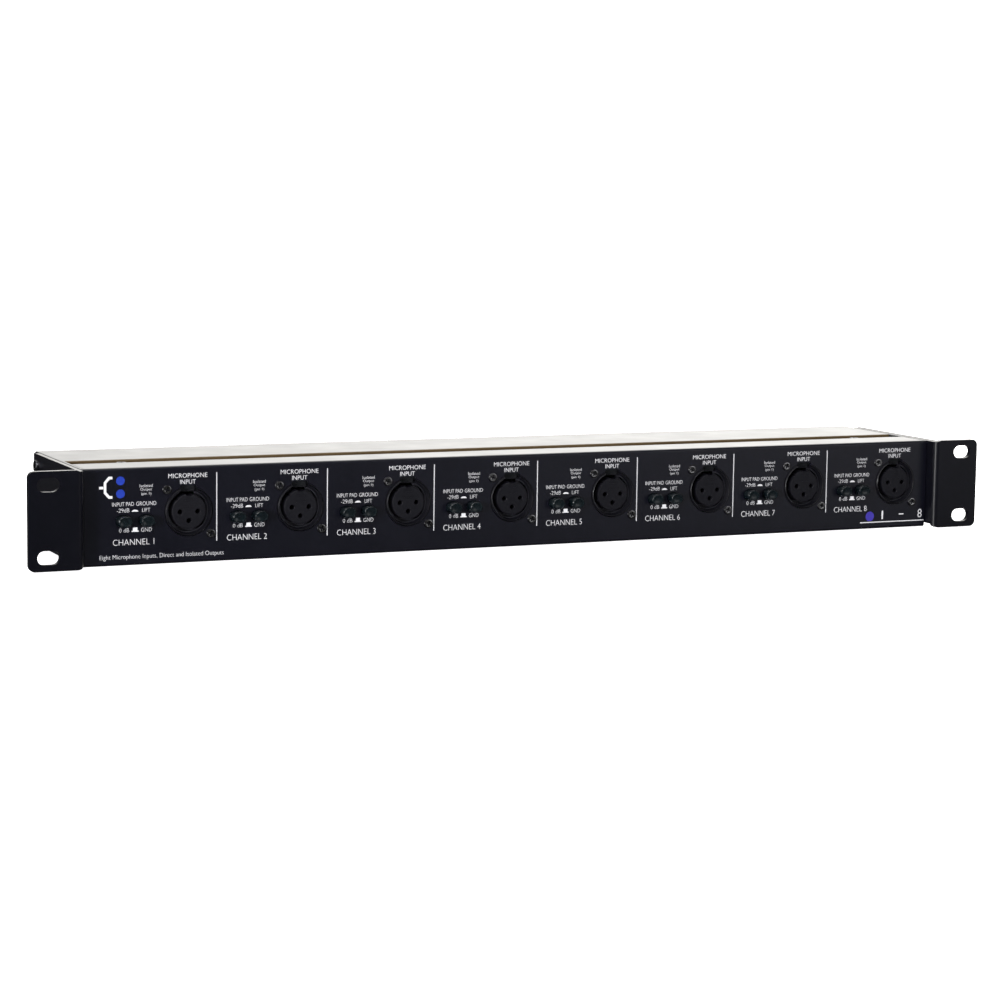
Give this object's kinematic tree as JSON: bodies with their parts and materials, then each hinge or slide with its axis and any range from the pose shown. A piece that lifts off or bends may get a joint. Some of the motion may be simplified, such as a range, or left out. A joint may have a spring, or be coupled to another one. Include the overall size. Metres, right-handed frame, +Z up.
{
  "type": "rack microphone splitter",
  "caption": "One-unit rack case with a row of round microphone inputs, paired push buttons, rear outputs and slotted rack ears.",
  "frame": {"origin": "middle of the overall box in X and Y, on the underside of the case", "axes": "+X to the right seen from the front, +Y from the front panel to the rear panel, +Z up"},
  "size_m": [0.4826, 0.087, 0.0437],
  "materials": {
    "powder_coat": "satin black powder coat",
    "connector_plastic": "fine matte black moulding",
    "button_plastic": "semi-gloss black moulding",
    "screw_steel": "black zinc, slightly glossy",
    "circuit_board": "solder mask, satin"
  },
  "bodies": {
    "case": {"chassis": "powder_coat", "top_cover": "powder_coat", "rack_ear_left": "powder_coat", "rack_ear_right": "powder_coat", "front_board": "circuit_board", "rear_board": "circuit_board", "input_connector_1": "connector_plastic", "direct_output_1": "connector_plastic", "isolated_output_1": "connector_plastic", "input_connector_2": "connector_plastic", "direct_output_2": "connector_plastic", "isolated_output_2": "connector_plastic", "input_connector_3": "connector_plastic", "direct_output_3": "connector_plastic", "isolated_output_3": "connector_plastic", "input_connector_4": "connector_plastic", "direct_output_4": "connector_plastic", "isolated_output_4": "connector_plastic", "input_connector_5": "connector_plastic", "direct_output_5": "connector_plastic", "isolated_output_5": "connector_plastic", "input_connector_6": "connector_plastic", "direct_output_6": "connector_plastic", "isolated_output_6": "connector_plastic", "input_connector_7": "connector_plastic", "direct_output_7": "connector_plastic", "isolated_output_7": "connector_plastic", "input_connector_8": "connector_plastic", "direct_output_8": "connector_plastic", "isolated_output_8": "connector_plastic", "side_screw_left": "screw_steel", "cover_screw_left": "screw_steel", "side_screw_right": "screw_steel", "cover_screw_right": "screw_steel"},
    "pad_button_1": {"pad_button_1": "button_plastic"},
    "lift_button_1": {"lift_button_1": "button_plastic"},
    "latch_tab_1": {"latch_tab_1": "connector_plastic"},
    "pad_button_2": {"pad_button_2": "button_plastic"},
    "lift_button_2": {"lift_button_2": "button_plastic"},
    "latch_tab_2": {"latch_tab_2": "connector_plastic"},
    "pad_button_3": {"pad_button_3": "button_plastic"},
    "lift_button_3": {"lift_button_3": "button_plastic"},
    "latch_tab_3": {"latch_tab_3": "connector_plastic"},
    "pad_button_4": {"pad_button_4": "button_plastic"},
    "lift_button_4": {"lift_button_4": "button_plastic"},
    "latch_tab_4": {"latch_tab_4": "connector_plastic"},
    "pad_button_5": {"pad_button_5": "button_plastic"},
    "lift_button_5": {"lift_button_5": "button_plastic"},
    "latch_tab_5": {"latch_tab_5": "connector_plastic"},
    "pad_button_6": {"pad_button_6": "button_plastic"},
    "lift_button_6": {"lift_button_6": "button_plastic"},
    "latch_tab_6": {"latch_tab_6": "connector_plastic"},
    "pad_button_7": {"pad_button_7": "button_plastic"},
    "lift_button_7": {"lift_button_7": "button_plastic"},
    "latch_tab_7": {"latch_tab_7": "connector_plastic"},
    "pad_button_8": {"pad_button_8": "button_plastic"},
    "lift_button_8": {"lift_button_8": "button_plastic"},
    "latch_tab_8": {"latch_tab_8": "connector_plastic"}
  },
  "joints": [
    {"name": "pad_button_1_push", "type": "slide", "parent": "case", "child": "pad_button_1", "axis": [0, 1, 0], "range_m": [0, 0.0024], "stiffness_N_per_m": 150},
    {"name": "lift_button_1_push", "type": "slide", "parent": "case", "child": "lift_button_1", "axis": [0, 1, 0], "range_m": [0, 0.0024], "stiffness_N_per_m": 150},
    {"name": "latch_tab_1_push", "type": "slide", "parent": "case", "child": "latch_tab_1", "axis": [0, 1, 0], "range_m": [0, 0.0018], "stiffness_N_per_m": 200},
    {"name": "pad_button_2_push", "type": "slide", "parent": "case", "child": "pad_button_2", "axis": [0, 1, 0], "range_m": [0, 0.0024], "stiffness_N_per_m": 150},
    {"name": "lift_button_2_push", "type": "slide", "parent": "case", "child": "lift_button_2", "axis": [0, 1, 0], "range_m": [0, 0.0024], "stiffness_N_per_m": 150},
    {"name": "latch_tab_2_push", "type": "slide", "parent": "case", "child": "latch_tab_2", "axis": [0, 1, 0], "range_m": [0, 0.0018], "stiffness_N_per_m": 200},
    {"name": "pad_button_3_push", "type": "slide", "parent": "case", "child": "pad_button_3", "axis": [0, 1, 0], "range_m": [0, 0.0024], "stiffness_N_per_m": 150},
    {"name": "lift_button_3_push", "type": "slide", "parent": "case", "child": "lift_button_3", "axis": [0, 1, 0], "range_m": [0, 0.0024], "stiffness_N_per_m": 150},
    {"name": "latch_tab_3_push", "type": "slide", "parent": "case", "child": "latch_tab_3", "axis": [0, 1, 0], "range_m": [0, 0.0018], "stiffness_N_per_m": 200},
    {"name": "pad_button_4_push", "type": "slide", "parent": "case", "child": "pad_button_4", "axis": [0, 1, 0], "range_m": [0, 0.0024], "stiffness_N_per_m": 150},
    {"name": "lift_button_4_push", "type": "slide", "parent": "case", "child": "lift_button_4", "axis": [0, 1, 0], "range_m": [0, 0.0024], "stiffness_N_per_m": 150},
    {"name": "latch_tab_4_push", "type": "slide", "parent": "case", "child": "latch_tab_4", "axis": [0, 1, 0], "range_m": [0, 0.0018], "stiffness_N_per_m": 200},
    {"name": "pad_button_5_push", "type": "slide", "parent": "case", "child": "pad_button_5", "axis": [0, 1, 0], "range_m": [0, 0.0024], "stiffness_N_per_m": 150},
    {"name": "lift_button_5_push", "type": "slide", "parent": "case", "child": "lift_button_5", "axis": [0, 1, 0], "range_m": [0, 0.0024], "stiffness_N_per_m": 150},
    {"name": "latch_tab_5_push", "type": "slide", "parent": "case", "child": "latch_tab_5", "axis": [0, 1, 0], "range_m": [0, 0.0018], "stiffness_N_per_m": 200},
    {"name": "pad_button_6_push", "type": "slide", "parent": "case", "child": "pad_button_6", "axis": [0, 1, 0], "range_m": [0, 0.0024], "stiffness_N_per_m": 150},
    {"name": "lift_button_6_push", "type": "slide", "parent": "case", "child": "lift_button_6", "axis": [0, 1, 0], "range_m": [0, 0.0024], "stiffness_N_per_m": 150},
    {"name": "latch_tab_6_push", "type": "slide", "parent": "case", "child": "latch_tab_6", "axis": [0, 1, 0], "range_m": [0, 0.0018], "stiffness_N_per_m": 200},
    {"name": "pad_button_7_push", "type": "slide", "parent": "case", "child": "pad_button_7", "axis": [0, 1, 0], "range_m": [0, 0.0024], "stiffness_N_per_m": 150},
    {"name": "lift_button_7_push", "type": "slide", "parent": "case", "child": "lift_button_7", "axis": [0, 1, 0], "range_m": [0, 0.0024], "stiffness_N_per_m": 150},
    {"name": "latch_tab_7_push", "type": "slide", "parent": "case", "child": "latch_tab_7", "axis": [0, 1, 0], "range_m": [0, 0.0018], "stiffness_N_per_m": 200},
    {"name": "pad_button_8_push", "type": "slide", "parent": "case", "child": "pad_button_8", "axis": [0, 1, 0], "range_m": [0, 0.0024], "stiffness_N_per_m": 150},
    {"name": "lift_button_8_push", "type": "slide", "parent": "case", "child": "lift_button_8", "axis": [0, 1, 0], "range_m": [0, 0.0024], "stiffness_N_per_m": 150},
    {"name": "latch_tab_8_push", "type": "slide", "parent": "case", "child": "latch_tab_8", "axis": [0, 1, 0], "range_m": [0, 0.0018], "stiffness_N_per_m": 200}
  ]
}
